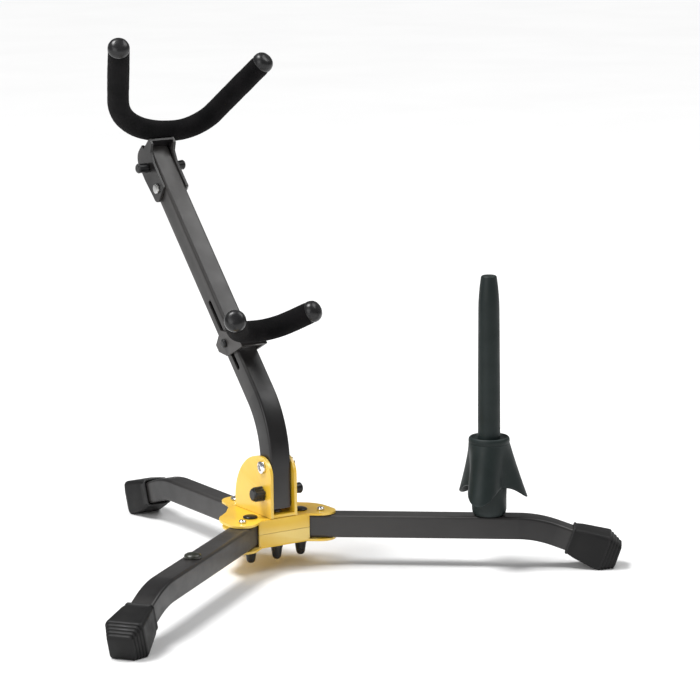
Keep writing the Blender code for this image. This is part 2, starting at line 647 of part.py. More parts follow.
def cross_bolt(name, spot, shank, grip, head, look, nut_look, nut="nut"):
    """A bolt along X through two cheeks, head on the left, and its nut on the right."""
    seat = grip + GAP
    bolt = [(0, seat + 2.4), (head / 2 * 0.55, seat + 2.4), (head / 2 * 0.92, seat + 1.6), (head / 2, seat),
            (shank / 2, seat), (shank / 2, -seat - 3), (0, -seat - 3)]
    body = turned(name, bolt, 24)
    moved(body, Matrix.Translation(spot) @ Matrix.Rotation(-pi / 2, 4, "Y"))
    piece(body, name, look, spot)
    ring = [(0, seat + 5), (head * 0.3, seat + 4.6), (head * 0.46, seat + 3.4), (head * 0.46, seat),
            (shank / 2 + GAP, seat), (shank / 2 + GAP, seat + 3.4), (0, seat + 3.4)]
    body = turned(name + "_nut", ring, 24)
    moved(body, Matrix.Translation(spot) @ Matrix.Rotation(pi / 2, 4, "Y"))
    piece(body, name + "_" + nut, nut_look, spot)


def pull_pin(name, spot, side, cheek, shank, knob, length, look, tip_gap=GAP, lobes=0):
    """Spring pin that ends just short of the tube, with a knob outside the cheek. side is 1 or -1."""
    seat = cheek + GAP
    tip = HALF + tip_gap
    pin = rod_between("pin", (0, 0, tip), (0, 0, seat + 1), shank / 2, sides=16)
    grip = turned("knob", [(0, seat + length), (knob / 2 * 0.75, seat + length), (knob / 2, seat + length - 1.2),
                           (knob / 2 * 0.9, seat + length / 2), (knob / 2, seat + 1), (knob / 2 * 0.8, seat),
                           (0, seat)], 24)
    if lobes:
        rim = [rod_between("lobe", (knob / 2.4 * cos(2 * pi * i / lobes), knob / 2.4 * sin(2 * pi * i / lobes),
                                    seat + 0.5),
                           (knob / 2.4 * cos(2 * pi * i / lobes), knob / 2.4 * sin(2 * pi * i / lobes),
                            seat + length - 1.5), knob * 0.17, sides=12) for i in range(lobes)]
        grip = joined(grip, *rim)
    body = joined(grip, pin)
    moved(body, Matrix.Translation(spot) @ Matrix.Rotation(side * pi / 2, 4, "Y"))
    piece(body, name, look, spot)


# --- yokes ---------------------------------------------------------------------------------------------
def yoke_path(base, up, left, right):
    """Points of a U in the plane of X and up. Each arm is (end across, end height, lean, bend radius)."""
    base, up = Vector(base), Vector(up)

    def arm(end_x, end_h, lean, radius, sign):
        slope = radians(lean)
        corner_x = end_x - end_h * tan(slope)
        flat = Vector((corner_x * 0.02, 0))
        spots = bent_path((flat.x, 0, 0), (corner_x, 0, 0), (end_x, end_h, 0), radius, 9)
        return [base + Vector((sign * p.x, 0, 0)) + up * p.y for p in spots]
    one = arm(*left, -1)
    two = arm(*right, 1)
    return list(reversed(one[1:])) + two[1:]


def trimmed(path, start, end):
    """The path without its first and last stretches."""
    spots = [p.copy() for p in path]
    spots[0] = spots[0] + (spots[1] - spots[0]).normalized() * start
    spots[-1] = spots[-1] + (spots[-2] - spots[-1]).normalized() * end
    return spots


def yoke(name, path, lug, pivot):
    """Steel rod, foam sleeve with a slot for the lug that holds the rod, and two end caps."""
    rod = swept("rod", trimmed(path, 2, 2), radius=ROD / 2, sides=16)
    piece(rod, name + "_rod", BLACK_STEEL, pivot)
    sleeve_path = trimmed(path, FOAM_END, FOAM_END)
    sleeve = swept("sleeve", sleeve_path, radius=FOAM / 2, sides=20)
    bore = swept("bore", path, radius=ROD / 2 + GAP, sides=16)
    piece(cut(sleeve, bore, lug), name + "_foam", FOAM_LOOK, pivot)
    for end, label in ((0, "left"), (-1, "right")):
        tip = path[end]
        inward = (path[1] if end == 0 else path[-2]) - tip
        seat = FOAM_END - GAP
        profile = [(0, 3.4), (CAP * 0.22, 2.9), (CAP * 0.37, 1.3), (CAP * 0.46, -1.0), (CAP / 2, -3.2),
                   (CAP / 2, -seat), (ROD / 2 + GAP, -seat), (ROD / 2 + GAP, -1.6), (0, -1.6)]
        body = turned("cap", profile, 28)
        turn = (-inward).to_track_quat("Z", "Y").to_matrix().to_4x4()
        moved(body, Matrix.Translation(tip) @ turn)
        piece(body, name + "_" + label + "_cap", BLACK_PLASTIC, pivot)


def tube_frame(spot):
    """Places (X, across, along) at a spot on the upright's upper part."""
    return Matrix.Translation(spot) @ Matrix.Rotation(-TILT, 4, "X")


def yz_plate(name, outline, low, high, spot):
    """A side plate whose outline is (across, along) at a spot on the upright."""
    return moved(plate(name, outline, low, high, "YZ"), tube_frame(spot))


def upper_yoke():
    """Folding carrier on the tube's top end: two cheeks, a web over the end and a lug under the rod."""
    rod_at = (-14.6, TOP_CAP + FOAM_ABOVE + FOAM / 2)
    swing = hypot(HALF, RIVET_BELOW + TOP_CAP)        # reach of the tube's capped corner about the rivet
    web_low = swing - RIVET_BELOW + RUN
    web_top = web_low + FITTING_SHEET
    behind = rod_at[0] + FOAM / 2 + RUN
    below = rod_at[1] - FOAM / 2 - RUN
    front = -19.0
    cheek = [Vector((behind, web_top + STEP))] + arc((2, web_top + STEP - 10), 10, 90, 0, 8)
    cheek += [Vector((12.3, -20)), Vector((10.8, -38))] + arc((4.6, -41), 6.2, 0, -75, 5)
    cheek += [Vector((-8.6, -43.6)), Vector((-9.6, -41.8)), Vector((-9.8, -18)), Vector((-12.5, -8)),
              Vector((front, -4)), Vector((front, below)), Vector((behind, below))]
    parts = [yz_plate("cheek", cheek, x, x + FITTING_SHEET, TOP) for x in (-SIDE_OUT, EAR_IN)]
    inside = SIDE_OUT - FITTING_SHEET / 2
    over = box("web", (-inside, behind + STEP, web_low), (inside, 3, web_top))
    ahead = box("web", (-inside, front + STEP, below - FITTING_SHEET), (inside, -HALF - RUN, below - STEP / 2))
    lug = box("lug", (-LUG, rod_at[0] - 3, below - 1), (LUG, rod_at[0] + 3, rod_at[1] - ROD / 2 - GAP))
    parts += [moved(p, tube_frame(TOP)) for p in (over, ahead, lug)]
    cutters = []
    for spot, size in ((RIVET, CARRIER_PIN), (LATCH, LATCH_PIN)):
        cutters.append(hole(spot - Vector((30, 0, 0)), spot + Vector((30, 0, 0)), size))
    body = cut(joined(parts[0], *parts[1:]), *cutters)
    piece(body, "upper_yoke_carrier", BLACK_STEEL, RIVET)
    base = TOP + ACROSS * rod_at[0] + ALONG * rod_at[1]
    path = yoke_path(base, -ACROSS, *UPPER_ARMS)
    wide = LUG + GAP
    slot = box("slot", (-wide, rod_at[0] - 3 - GAP, -5), (wide, rod_at[0] + 3 + GAP, rod_at[1]))
    yoke("upper_yoke", path, moved(slot, tube_frame(TOP)), RIVET)
    cross_bolt("carrier_pin", RIVET, CARRIER_PIN, SIDE_OUT, 9.0, ZINC, ZINC)
    for side, label in ((-1, "left"), (1, "right")):
        pull_pin("carrier_latch_" + label, LATCH, side, SIDE_OUT, LATCH_PIN, 8.6, 10.5, BLACK_PLASTIC)


def lower_yoke():
    """Sliding clamp on the slot: two cheeks, a front web with the rod's lug, bolt and thumbscrew."""
    web = -HALF - 12.3
    rod_at = (web - FOAM / 2 - RUN - GAP, -11.3)
    cheek = [Vector((-1, 12)), Vector((-11, 3)), Vector((web, -4)), Vector((web, -18)), Vector((-8, -14)),
             Vector((4.5, -10)), Vector((BACK_WEB + FITTING_SHEET, 0)), Vector((BACK_WEB + FITTING_SHEET, 7))]
    parts = [yz_plate("cheek", cheek, x, x + FITTING_SHEET, CLAMP) for x in (-SIDE_OUT, EAR_IN)]
    inside = SIDE_OUT - FITTING_SHEET / 2
    front = box("web", (-inside, web + STEP, -17.5), (inside, web + FITTING_SHEET, -4.5))
    back = box("back", (-inside, BACK_WEB, 0.5), (inside, BACK_WEB + FITTING_SHEET - STEP, 6.5))
    lug = box("lug", (-LUG, rod_at[0] + ROD / 2 + GAP, rod_at[1] - 3), (LUG, web + 1, rod_at[1] + 3))
    parts += [moved(p, tube_frame(CLAMP)) for p in (front, back, lug)]
    cutters = [hole(CLAMP - Vector((30, 0, 0)), CLAMP + Vector((30, 0, 0)), CLAMP_BOLT)]
    screw_at = CLAMP + ALONG * 3.5
    cutters.append(hole(screw_at, screw_at + ACROSS * 30, 3.0))
    piece(cut(joined(parts[0], *parts[1:]), *cutters), "lower_yoke_bracket", BLACK_STEEL, CLAMP)
    base = CLAMP + ACROSS * rod_at[0] + ALONG * rod_at[1]
    up = Vector((0, -cos(radians(LOWER_RISE)), sin(radians(LOWER_RISE))))
    wide = LUG + GAP
    slot = box("slot", (-wide, rod_at[0], rod_at[1] - 3 - GAP), (wide, web + 4, rod_at[1] + 3 + GAP))
    yoke("lower_yoke", yoke_path(base, up, LOWER_ARM, LOWER_ARM), moved(slot, tube_frame(CLAMP)), CLAMP)
    cross_bolt("clamp_bolt", CLAMP, CLAMP_BOLT, SIDE_OUT, 7.5, BLACK_PLASTIC, BLACK_PLASTIC)
    head = BACK_WEB + FITTING_SHEET + GAP
    screw = turned("screw", [(0, head + 6), (3.6, head + 6), (4.6, head + 5), (4.6, head + 1), (3.4, head),
                             (1.5, head), (1.5, HALF + GAP), (0, HALF + GAP)], 20)
    moved(screw, tube_frame(screw_at) @ Matrix.Rotation(-pi / 2, 4, "X"))
    piece(screw, "clamp_thumbscrew", BLACK_PLASTIC, screw_at)


def build():
    hub_plates()
    hub_bolts()
    bracket()
    legs()
    peg()
    plug()
    upright()
    cross_bolt("upright_pivot_bolt", Vector((0, UPRIGHT_Y, PIVOT_Z)), PIVOT_BOLT, EAR_OUT, 11.0, CHROME, ZINC)
    lock = Vector((0, UPRIGHT_Y, LOCK_Z))
    pull_pin("upright_lock_left", lock, -1, EAR_OUT, LOCK_PIN, 10.8, 10.0, BLACK_PLASTIC, lobes=5)
    pull_pin("upright_lock_right", lock, 1, EAR_OUT, LOCK_PIN, 9.2, 11.7, BLACK_PLASTIC)
    upper_yoke()
    lower_yoke()


def stand_on_floor():
    """Puts the middle of the stand's footprint box on the world's origin."""
    bpy.context.view_layer.update()
    spots = [o.matrix_world @ v.co for o in stand.objects if o.type == "MESH" for v in o.data.vertices]
    low = [min(p[i] for p in spots) for i in range(3)]
    high = [max(p[i] for p in spots) for i in range(3)]
    root.location = (-(low[0] + high[0]) / 2, -(low[1] + high[1]) / 2, -low[2])


build()
stand_on_floor()
bpy.context.view_layer.update()
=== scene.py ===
"""Looks of the folding saxophone stand: fine tubes, boots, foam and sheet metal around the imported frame.

Shapes are drawn in the hub's own axes, in millimetres: the origin is the middle of the hub at the height of the
leg tubes, +X the player's right, -Y the instrument side. HUB places them in the row frame.
"""
import json
import bmesh
import bpy
from math import cos, pi, radians, sin, tan
from mathutils import Matrix, Vector, noise


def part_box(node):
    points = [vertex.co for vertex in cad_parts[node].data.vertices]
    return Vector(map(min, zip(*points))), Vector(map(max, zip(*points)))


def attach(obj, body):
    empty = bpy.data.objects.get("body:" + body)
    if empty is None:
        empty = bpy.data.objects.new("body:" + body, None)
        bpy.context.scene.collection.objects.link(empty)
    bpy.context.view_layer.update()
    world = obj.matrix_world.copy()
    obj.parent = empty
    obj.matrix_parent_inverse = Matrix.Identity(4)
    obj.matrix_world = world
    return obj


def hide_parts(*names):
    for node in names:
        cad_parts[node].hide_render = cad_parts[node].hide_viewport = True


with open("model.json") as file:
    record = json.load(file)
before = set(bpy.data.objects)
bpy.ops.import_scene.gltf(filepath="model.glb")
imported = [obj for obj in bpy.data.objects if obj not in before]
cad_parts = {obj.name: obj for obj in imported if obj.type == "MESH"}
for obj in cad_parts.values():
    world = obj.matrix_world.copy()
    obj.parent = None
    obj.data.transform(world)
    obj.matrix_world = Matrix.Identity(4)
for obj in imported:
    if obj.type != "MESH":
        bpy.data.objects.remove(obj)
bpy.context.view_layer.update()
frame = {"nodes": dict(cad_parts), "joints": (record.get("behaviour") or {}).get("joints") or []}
MM = 0.001
JOINTS = {joint["name"]: joint for joint in frame["joints"]}
NODES = frame["nodes"]

# --- sizes, as in the design --------------------------------------------------------------------------
TUBE, TUBE_WALL, TUBE_CORNER = 19.0, 1.5, 2.4
GAP = 0.3
LEG_ANGLE, LEG_SLOPE, LEG_BEND = 37.8, 19.5, 90.0
FRONT_KNEE, REAR_KNEE, MOUTH_AT = 226.5, 156.0, 28.0
BOOT_MOUTH, BOOT_END, BOOT_LENGTH, BOOT_CAP, BOOT_TIP = 23.4, 31.0, 29.5, 13.0, 19.0
BOOT_GRIP = 20.0
PIVOT = Vector((24.0, -18.6, 0))
LEG_START, REAR_LEG_START = 22.55, 1.0
BOLT = 6.0
UPRIGHT_Y, UPRIGHT_FOOT, UPRIGHT_CORNER_Z = -20.0, 18.5, 85.3
UPRIGHT_BEND, UPRIGHT_TILT, UPRIGHT_REACH = 80.0, 43.0, 283.0
PIVOT_Z, LOCK_Z = 53.0, 31.0
SLOT_WIDTH, SLOT_BELOW, SLOT_ABOVE, CLAMP_AT = 4.6, 26.8, 42.8, 85.0
RIVET_BELOW, LATCH_BELOW = 37.5, 15.0
ROD, FOAM, FOAM_END, CAP_RADIUS = 8.0, 18.6, 6.0, 9.1
# each arm of a yoke: end across, end height, lean in degrees, bend radius
UPPER_LEFT_ARM, UPPER_RIGHT_ARM = (81.6, 123.0, 20.0, 75.0), (71.0, 91.5, 18.0, 32.0)
LOWER_ARM, LOWER_RISE = (38.5, 36.5, 30.0, 25.0), 30.0
# middle of each yoke's rod: in front of the upright's axis, and up along it from its end or from the clamp
UPPER_ROD_FRONT, UPPER_ROD_UP = 14.6, 11.4
LOWER_ROD_FRONT, LOWER_ROD_UP = 31.9, -11.3
PIVOT_HOLE, LOCK_HOLE, RIVET_HOLE, LATCH_HOLE = 5.3, 3.3, 3.3, 2.8
CUT_REACH = 20.0
PEG_AT, PLUG_AT, SOCKET, STUD = 187.0, 153.0, 12.0, 8.0
PEG_BASE, PEG_SHOULDER, PEG_SHAFT, PEG_NOSE = 14.3, 17.0, 9.2, 6.6
PEG_SHOULDER_Z, PEG_TOP_Z, PEG_FLOOR = 60.2, 199.2, 24.0
PETAL_TURNS, PETAL_REACH, PETAL_LENGTH, PETAL_NOTCH = (-23, 97, 217), 32.5, 47.0, 36.0
REAR_BOLTS = (14.0, 42.0)

HALF = TUBE / 2
TILT = radians(UPRIGHT_TILT)
ALONG = Vector((0, sin(TILT), cos(TILT)))
ACROSS = Vector((0, cos(TILT), -sin(TILT)))
CORNER = Vector((0, UPRIGHT_Y, UPRIGHT_CORNER_Z))
TOP = CORNER + ALONG * UPRIGHT_REACH
CLAMP = CORNER + ALONG * CLAMP_AT
HUB = Matrix.Translation(Vector(JOINTS["right_leg_swing"]["pos_m"]) - PIVOT * MM)
FLOOR_Z = -HUB.translation.z / MM


# --- shape helpers ------------------------------------------------------------------------------------
def new_mesh(name, fill, smooth=35):
    """A new object from fill(bm), drawn in hub millimetres and put in the row frame."""
    bm = bmesh.new()
    fill(bm)
    bmesh.ops.recalc_face_normals(bm, faces=bm.faces)
    bmesh.ops.transform(bm, matrix=HUB @ Matrix.Scale(MM, 4), verts=bm.verts)
    mesh = bpy.data.meshes.new(name)
    bm.to_mesh(mesh)
    bm.free()
    mesh.shade_smooth()
    mesh.set_sharp_from_angle(angle=radians(smooth))
    obj = bpy.data.objects.new(name, mesh)
    bpy.context.scene.collection.objects.link(obj)
    return obj


def add_loft(bm, rings, closed_ends=True):
    """Skins a list of rings with the same number of points, and caps the ends."""
    rows = [[bm.verts.new(p) for p in ring] for ring in rings]
    count = len(rows[0])
    for one, two in zip(rows, rows[1:]):
        for i in range(count):
            j = (i + 1) % count
            bm.faces.new((one[i], one[j], two[j], two[i]))
    if closed_ends:
        bm.faces.new(list(reversed(rows[0])))
        bm.faces.new(rows[-1])


def rounded_ring(half, radius, steps=6, half_y=None):
    """Points of a square with round corners about the origin."""
    half_y = half if half_y is None else half_y
    points = []
    for quarter, (sx, sy) in enumerate(((1, 1), (-1, 1), (-1, -1), (1, -1))):
        for i in range(steps + 1):
            angle = quarter * pi / 2 + pi / 2 * i / steps
            points.append(Vector((sx * (half - radius) + radius * cos(angle),
                                  sy * (half_y - radius) + radius * sin(angle), 0)))
    return points


def round_ring(radius, sides):
    return [Vector((radius * cos(2 * pi * i / sides), radius * sin(2 * pi * i / sides), 0)) for i in range(sides)]


def bent_path(start, corner, end, radius, steps):
    """Start to end through a corner that is rounded to the radius."""
    start, corner, end = Vector(start), Vector(corner), Vector(end)
    one = (start - corner).normalized()
    two = (end - corner).normalized()
    turn = pi - one.angle(two)
    centre = corner + (one + two).normalized() * radius / cos(turn / 2)
    first = corner + one * radius * tan(turn / 2) - centre
    axis = first.cross(two)
    bend = [centre + Matrix.Rotation(turn * i / steps, 3, axis) @ first for i in range(steps + 1)]
    return [start] + bend + [end]


def resampled(path, step):
    """The path with extra points so that none are further apart than step."""
    points = [path[0]]
    for one, two in zip(path, path[1:]):
        count = max(1, round((two - one).length / step))
        points += [one.lerp(two, i / count) for i in range(1, count + 1)]
    return points


def frames_along(path, side):
    """A placement at each point of a flat path; side is square to the path's plane."""
    places = []
    for i, point in enumerate(path):
        ahead = (path[min(i + 1, len(path) - 1)] - path[max(i - 1, 0)]).normalized()
        up = side.cross(ahead).normalized()
        turn = Matrix((side, up, ahead)).transposed().to_4x4()
        places.append(Matrix.Translation(point) @ turn)
    return places


def turned(name, profile, place, steps=48, smooth=35):
    """A round piece about Z from (radius, height) pairs, placed by a matrix; it starts and ends on the axis."""
    def fill(bm):
        inner = [place @ Vector((0, 0, profile[0][1])), place @ Vector((0, 0, profile[-1][1]))]
        rings = [[place @ (p + Vector((0, 0, z))) for p in round_ring(r, steps)] for r, z in profile if r > 0]
        rows = [[bm.verts.new(p) for p in ring] for ring in rings]
        for one, two in zip(rows, rows[1:]):
            for i in range(steps):
                j = (i + 1) % steps
                bm.faces.new((one[i], one[j], two[j], two[i]))
        for point, row in zip(inner, (rows[0], rows[-1])):
            tip = bm.verts.new(point)
            for i in range(steps):
                bm.faces.new((row[i], row[(i + 1) % steps], tip))
    return new_mesh(name, fill, smooth)


def wheel(name, profile, place, steps=64, smooth=35):
    """A round piece with a hole: a closed loop of (radius, height) pairs turned about Z."""
    def fill(bm):
        rows = [[bm.verts.new(place @ (p + Vector((0, 0, z)))) for p in round_ring(r, steps)] for r, z in profile]
        for one, two in zip(rows, rows[1:] + rows[:1]):
            for i in range(steps):
                j = (i + 1) % steps
                bm.faces.new((one[i], one[j], two[j], two[i]))
    return new_mesh(name, fill, smooth)


def bar(name, start, end, radius, sides=32):
    start, end = Vector(start), Vector(end)
    turn = (end - start).to_track_quat("Z", "Y").to_matrix().to_4x4()
    length = (end - start).length
    return turned(name, [(0, 0), (radius, 0), (radius, length), (0, length)],
                  Matrix.Translation(start) @ turn, sides)


def cut(obj, cutters, operation="DIFFERENCE"):
    for cutter in cutters:
        step = obj.modifiers.new("cut", "BOOLEAN")
        step.operation = operation
        step.solver = "EXACT"
        step.object = cutter
    bpy.context.view_layer.update()
    evaluated = obj.evaluated_get(bpy.context.evaluated_depsgraph_get())
    mesh = bpy.data.meshes.new_from_object(evaluated)
    obj.modifiers.clear()
    obj.data = mesh
    mesh.shade_smooth()
    mesh.set_sharp_from_angle(angle=radians(35))
    for cutter in cutters:
        bpy.data.objects.remove(cutter, do_unlink=True)
    return obj


def finished(obj, body, look, slot, *nodes):
    """Dresses a piece and ties it to its body and the nodes that it stands for; the slot is not used."""
    obj.data.materials.clear()
    obj.data.materials.append(look)
    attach(obj, body)
    if nodes:
        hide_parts(*nodes)
    return obj


def eased(node, look, width, segments=2):
    """Keeps a CAD node, rounds its edges with modifiers and gives it its material."""
    obj = NODES[node]
    weld = obj.modifiers.new("weld", "WELD")
    weld.merge_threshold = 0.00001
    flat = obj.modifiers.new("flat", "DECIMATE")
    flat.decimate_type = "DISSOLVE"
    flat.angle_limit = radians(1.5)
    bevel = obj.modifiers.new("edges", "BEVEL")
    bevel.width = width * MM
    bevel.segments = segments
    bevel.limit_method = "ANGLE"
    bevel.angle_limit = radians(40)
    bevel.harden_normals = False
    obj.data.shade_smooth()
    smooth = obj.modifiers.new("normals", "WEIGHTED_NORMAL")
    smooth.keep_sharp = False
    for i in range(len(obj.material_slots)):
        obj.material_slots[i].material = look


# --- materials ----------------------------------------------------------------------------------------
class Look:
    """A node material: colour drift, roughness drift, edge wear and layered bump over a Principled shader."""

    def __init__(self, name, colour, roughness, metallic=0.0):
        self.material = bpy.data.materials.new(name)
        self.material.use_nodes = True
        self.tree = self.material.node_tree
        self.shader = self.tree.nodes["Principled BSDF"]
        self.shader.inputs["Metallic"].default_value = metallic
        self.coords = self.tree.nodes.new("ShaderNodeTexCoord").outputs["Object"]
        self.colour = (*colour, 1.0)
        self.roughness = roughness
        self.height = None
        self.paint = None
        self.shader.inputs["Base Color"].default_value = self.colour
        self.shader.inputs["Roughness"].default_value = roughness

    def link(self, one, two):
        self.tree.links.new(one, two)

    def noise(self, scale, detail=3.0, rough=0.55):
        node = self.tree.nodes.new("ShaderNodeTexNoise")
        node.inputs["Scale"].default_value = scale
        node.inputs["Detail"].default_value = detail
        node.inputs["Roughness"].default_value = rough
        self.link(self.coords, node.inputs["Vector"])
        return node.outputs["Fac"]

    def cells(self, scale):
        node = self.tree.nodes.new("ShaderNodeTexVoronoi")
        node.inputs["Scale"].default_value = scale
        self.link(self.coords, node.inputs["Vector"])
        return node.outputs["Distance"]

    def ramp(self, value, low, high, stops):
        node = self.tree.nodes.new("ShaderNodeMapRange")
        node.inputs["From Min"].default_value = low
        node.inputs["From Max"].default_value = high
        node.inputs["To Min"].default_value = stops[0]
        node.inputs["To Max"].default_value = stops[1]
        self.link(value, node.inputs["Value"])
        return node.outputs["Result"]

    def drift(self, scale, other, low=0.35, high=0.65):
        """Colour wanders towards another colour with a soft noise."""
        self.mix(self.ramp(self.noise(scale), low, high, (0.0, 1.0)), other)
        return self

    def mix(self, factor, other):
        node = self.tree.nodes.new("ShaderNodeMix")
        node.data_type = "RGBA"
        if self.paint:
            self.link(self.paint, node.inputs[6])
        else:
            node.inputs[6].default_value = self.colour
        node.inputs[7].default_value = (*other, 1.0)
        self.link(factor, node.inputs[0])
        self.paint = node.outputs[2]
        self.link(self.paint, self.shader.inputs["Base Color"])

    def sheen_drift(self, scale, low, high):
        """Roughness wanders between two values."""
        self.link(self.ramp(self.noise(scale, 4.0), 0.3, 0.7, (low, high)), self.shader.inputs["Roughness"])
        return self

    def worn(self, other, start=0.53, end=0.60):
        """Proud edges are rubbed towards another colour."""
        rub = self.tree.nodes.new("ShaderNodeNewGeometry").outputs["Pointiness"]
        self.mix(self.ramp(rub, start, end, (0.0, 0.8)), other)
        return self

    def bump(self, height, distance, strength=0.5):
        node = self.tree.nodes.new("ShaderNodeBump")
        node.inputs["Distance"].default_value = distance
        node.inputs["Strength"].default_value = strength
        self.link(height, node.inputs["Height"])
        if self.height:
            self.link(self.height, node.inputs["Normal"])
        self.height = node.outputs["Normal"]
        self.link(self.height, self.shader.inputs["Normal"])
        return self

    def set(self, **values):
        for name, value in values.items():
            self.shader.inputs[name.replace("_", " ")].default_value = value
        return self


def make_looks():
    looks = {}
    paint = Look("satin_black_paint", (0.0065, 0.006, 0.0064), 0.36)
    paint.drift(18, (0.0115, 0.0105, 0.0105)).worn((0.055, 0.052, 0.05)).sheen_drift(60, 0.30, 0.42)
    paint.bump(paint.noise(1500, 2), 0.00006, 0.35).bump(paint.noise(140, 2), 0.0002, 0.12)
    looks["black_paint"] = paint.set(Specular_IOR_Level=0.42).material
    gold = Look("gold_paint", (0.80, 0.475, 0.016), 0.34)
    gold.drift(35, (0.84, 0.53, 0.028)).worn((0.92, 0.70, 0.22)).sheen_drift(90, 0.28, 0.40)
    gold.bump(gold.noise(1800, 2), 0.00005, 0.30).bump(gold.noise(160, 2), 0.0002, 0.12)
    looks["gold_paint"] = gold.set(Coat_Weight=0.35, Coat_Roughness=0.16).material
    foam = Look("black_foam", (0.0035, 0.0035, 0.0038), 0.95)
    foam.drift(55, (0.0065, 0.006, 0.0065)).sheen_drift(120, 0.85, 0.97)
    foam.bump(foam.cells(1300), 0.00035, 0.6).bump(foam.noise(90, 4), 0.0008, 0.35)
    looks["foam"] = foam.set(Sheen_Weight=0.015, Sheen_Roughness=0.5, Specular_IOR_Level=0.07).material
    rubber = Look("black_rubber", (0.0045, 0.0045, 0.0048), 0.50)
    rubber.drift(40, (0.0085, 0.0082, 0.0082)).worn((0.035, 0.035, 0.036)).sheen_drift(80, 0.40, 0.60)
    rubber.bump(rubber.noise(1600, 3), 0.00012, 0.45).bump(rubber.noise(120, 3), 0.0004, 0.2)
    looks["rubber"] = rubber.set(Specular_IOR_Level=0.22).material
    plastic = Look("glossy_black_plastic", (0.007, 0.007, 0.0075), 0.28)
    plastic.drift(60, (0.012, 0.012, 0.013)).worn((0.035, 0.035, 0.036)).sheen_drift(150, 0.24, 0.38)
    plastic.bump(plastic.noise(700, 2), 0.00005, 0.2)
    looks["black_plastic"] = plastic.set(Specular_IOR_Level=0.35).material
    shell = Look("peg_plastic", (0.0065, 0.0115, 0.011), 0.50)
    shell.drift(45, (0.010, 0.016, 0.0155)).worn((0.035, 0.05, 0.05)).sheen_drift(70, 0.42, 0.58)
    shell.bump(shell.noise(1100, 3), 0.0001, 0.35).bump(shell.noise(80, 2), 0.0004, 0.15)
    looks["peg_plastic"] = shell.set(Specular_IOR_Level=0.26).material
    chrome = Look("chrome", (0.82, 0.82, 0.83), 0.12, 1.0)
    chrome.drift(120, (0.70, 0.70, 0.71)).sheen_drift(300, 0.07, 0.20)
    chrome.bump(chrome.noise(500, 2), 0.00003, 0.15)
    looks["chrome"] = chrome.material
    zinc = Look("zinc_steel", (0.58, 0.58, 0.59), 0.30, 1.0)
    zinc.drift(90, (0.45, 0.45, 0.44)).sheen_drift(250, 0.22, 0.42)
    zinc.bump(zinc.noise(900, 3), 0.00006, 0.25)
    looks["zinc"] = zinc.material
    olive = Look("plug_rubber", (0.014, 0.016, 0.011), 0.30)
    olive.drift(90, (0.022, 0.024, 0.016)).worn((0.05, 0.05, 0.04)).sheen_drift(200, 0.26, 0.40)
    olive.bump(olive.noise(900, 2), 0.00005, 0.25)
    looks["olive"] = olive.material
    return looks


LOOKS = make_looks()


# --- tubes --------------------------------------------------------------------------------------------
def square_tube(name, path, side):
    """Hollow square tube with round corners: outer and inner skins joined at both ends."""
    def fill(bm):
        places = frames_along(path, side)
        rows = []
        for half, radius in ((HALF, TUBE_CORNER), (HALF - TUBE_WALL, TUBE_CORNER - TUBE_WALL * 0.8)):
            ring = rounded_ring(half, radius)
            rows.append([[bm.verts.new(place @ p) for p in ring] for place in places])
        for skin in rows:
            for one, two in zip(skin, skin[1:]):
                for i in range(len(one)):
                    j = (i + 1) % len(one)
                    bm.faces.new((one[i], one[j], two[j], two[i]))
        for end in (0, -1):
            outer, inner = rows[0][end], rows[1][end]
            for i in range(len(outer)):
                j = (i + 1) % len(outer)
                bm.faces.new((outer[i], outer[j], inner[j], inner[i]))
    return new_mesh(name, fill, 30)


def leg_place(side):
    """X out along the leg, Z up. side is 1 right, -1 left, 0 rear."""
    return Matrix.Rotation(radians({1: -LEG_ANGLE, -1: LEG_ANGLE - 180, 0: 90}[side]), 4, "Z")


def leg_tube(side, body, node):
    knee = FRONT_KNEE if side else REAR_KNEE
    slope = radians(LEG_SLOPE)
    tip = MOUTH_AT + BOOT_GRIP - GAP
    start = LEG_START if side else REAR_LEG_START
    path = bent_path((start, 0, 0), (knee, 0, 0), (knee + tip * cos(slope), 0, -tip * sin(slope)), LEG_BEND, 16)
    place = leg_place(side)
    tube = square_tube(node + "_skin", [place @ p for p in path], place.to_3x3() @ Vector((0, 1, 0)))
    if side:
        pivot = Vector((PIVOT.x * side, PIVOT.y, 0))
        spot = place @ Vector((PEG_AT if side > 0 else PLUG_AT, 0, 0))
        reach = Vector((0, 0, CUT_REACH))
        holes = [bar("hole", pivot - reach, pivot + reach, BOLT / 2 + GAP),
                 bar("hole", spot, spot + reach, SOCKET / 2 + GAP)]
    else:
        holes = [bar("hole", (0, y, -CUT_REACH), (0, y, CUT_REACH), BOLT / 2 + GAP) for y in REAR_BOLTS]
    finished(cut(tube, holes), body, LOOKS["black_paint"], "black_paint", node)


